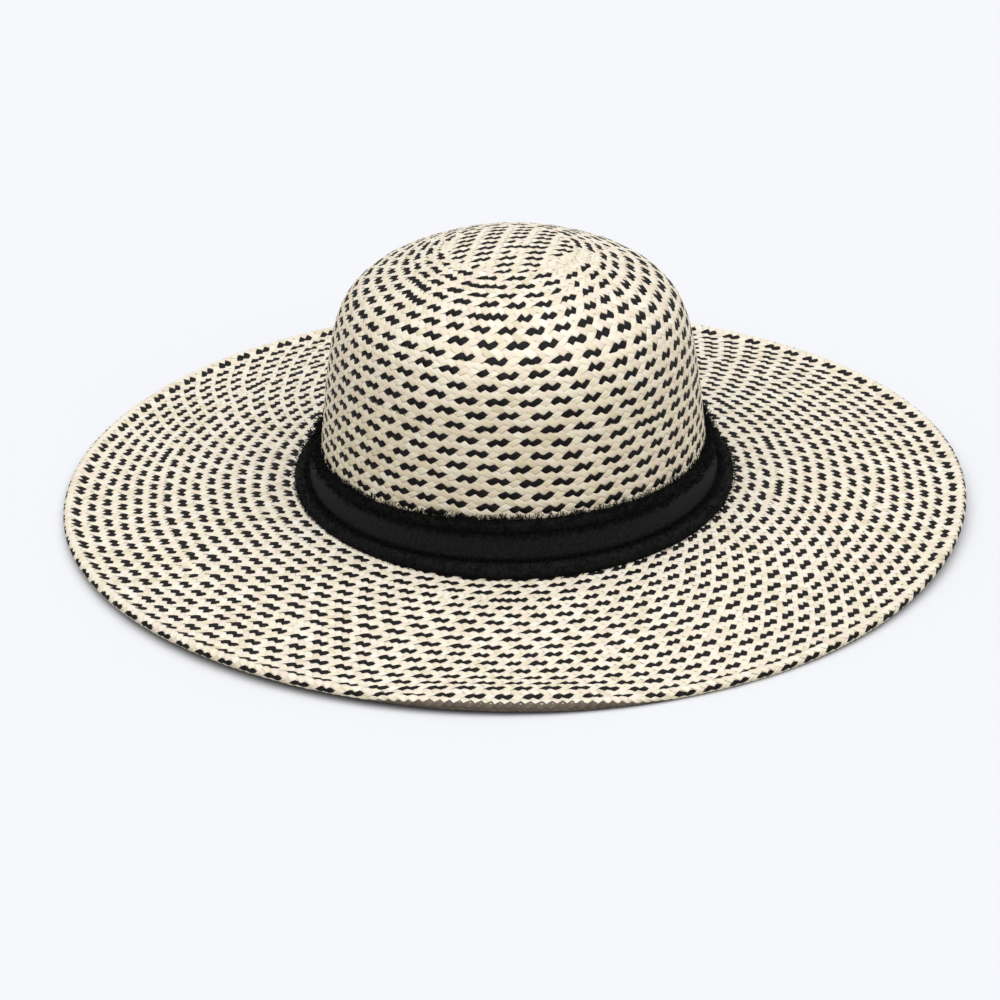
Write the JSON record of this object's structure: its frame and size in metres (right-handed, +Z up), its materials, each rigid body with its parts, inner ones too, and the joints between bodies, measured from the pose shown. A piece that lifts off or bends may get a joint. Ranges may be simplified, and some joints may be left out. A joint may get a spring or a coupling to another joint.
{
  "type": "wide-brim straw hat",
  "caption": "Wide-brim straw hat with a round crown, woven in black and natural straw, with a rolled rim and a frayed black band.",
  "frame": {"origin": "on the table under the middle of the hat, where the hat lies on the rim of its brim", "axes": "+Z up out of the table through the top of the crown, +Y towards the back of the hat along the longer way of the head opening, +X to the right as seen from the front"},
  "size_m": [0.382, 0.4134, 0.1152],
  "materials": {
    "straw": "matte",
    "band": "matte",
    "ribbon": "satin"
  },
  "bodies": {
    "root": {"straw_body": "straw", "frayed_band": "band", "ribbon": "ribbon"}
  },
  "joints": []
}
